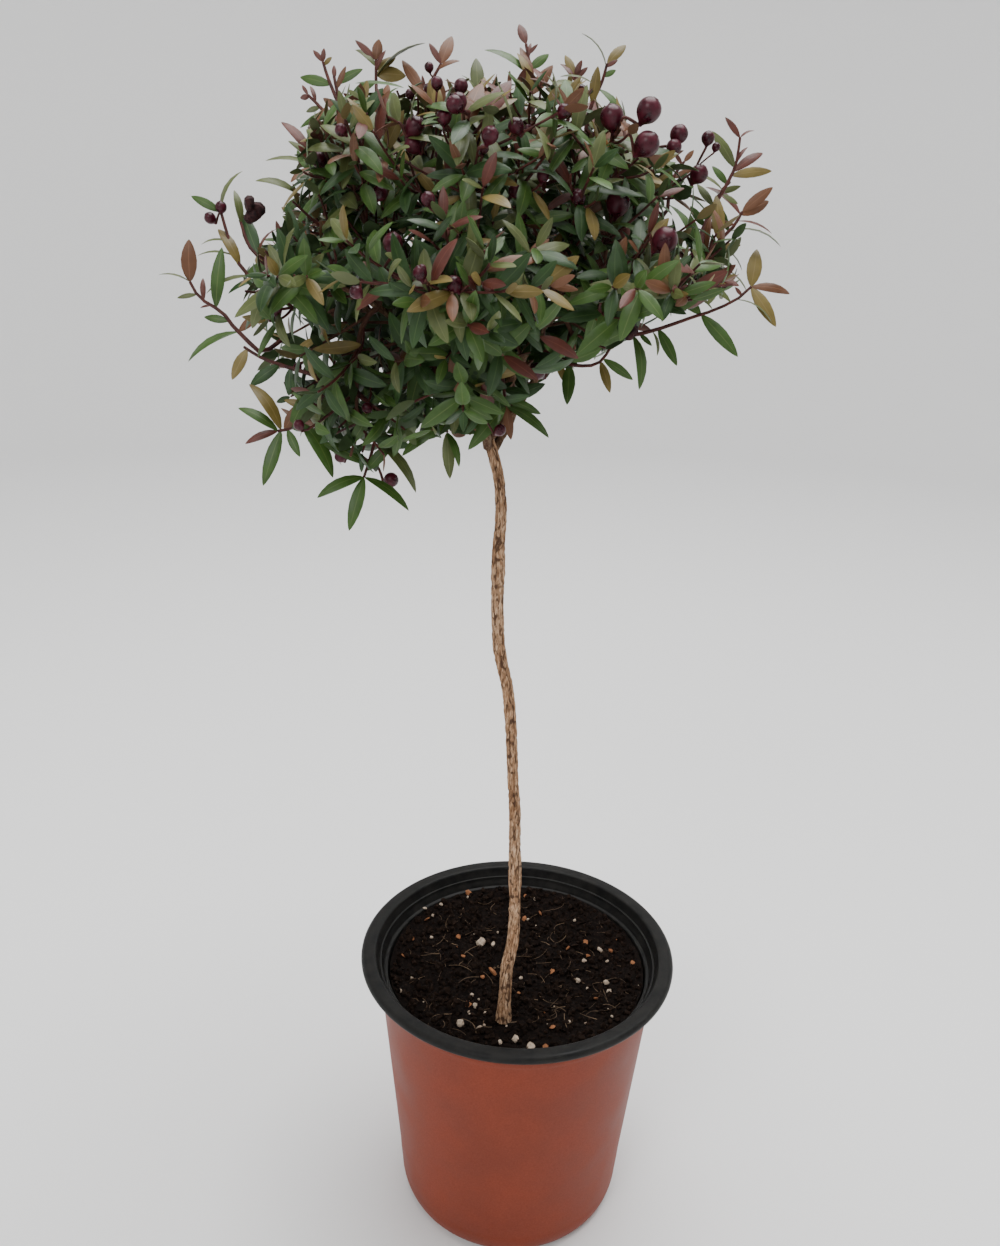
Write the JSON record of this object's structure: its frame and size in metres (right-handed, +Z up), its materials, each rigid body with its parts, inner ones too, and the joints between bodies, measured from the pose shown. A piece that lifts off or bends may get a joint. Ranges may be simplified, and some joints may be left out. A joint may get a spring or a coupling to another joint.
{
  "type": "potted topiary tree",
  "caption": "Small standard tree in a round nursery pot: a thin crooked bare stem carries a loose, rounded head of narrow opposite leaves with dark berries.",
  "frame": {"origin": "centre of the pot's flat underside, on the ground", "axes": "+Z up along the pot's axis, -Y towards the front that the picture shows, +X to its right"},
  "size_m": [0.2074, 0.1976, 0.4941],
  "materials": {
    "pot_wall_plastic": "satin terracotta plastic with a fine grain",
    "pot_rim_plastic": "satin black plastic",
    "compost": "damp dark peat with bark fibres and pale perlite grains",
    "bark": "matt, finely fissured brown bark",
    "leaves": "leathery satin green leaves, bronze at the tips"
  },
  "bodies": {
    "root": {"pot_wall": "pot_wall_plastic", "pot_rim": "pot_rim_plastic", "soil": "compost", "trunk": "bark", "bough_leader": "bark", "bough_left": "bark", "bough_front_left": "bark", "bough_front": "bark", "bough_front_right": "bark", "bough_right": "bark", "bough_back_right": "bark", "bough_back": "bark", "bough_back_left": "bark", "top_leaves_back": "leaves", "top_leaves_left": "leaves", "top_leaves_right": "leaves", "upper_leaves_left": "leaves", "outer_leaves_left": "leaves", "lower_leaves_left": "leaves", "upper_leaves_front_left": "leaves", "outer_leaves_front_left": "leaves", "lower_leaves_front_left": "leaves", "upper_leaves_front": "leaves", "outer_leaves_front": "leaves", "lower_leaves_front": "leaves", "upper_leaves_front_right": "leaves", "outer_leaves_front_right": "leaves", "lower_leaves_front_right": "leaves", "upper_leaves_right": "leaves", "outer_leaves_right": "leaves", "lower_leaves_right": "leaves", "upper_leaves_back_right": "leaves", "outer_leaves_back_right": "leaves", "lower_leaves_back_right": "leaves", "upper_leaves_back": "leaves", "outer_leaves_back": "leaves", "lower_leaves_back": "leaves", "upper_leaves_back_left": "leaves", "outer_leaves_back_left": "leaves", "lower_leaves_back_left": "leaves"}
  },
  "joints": []
}
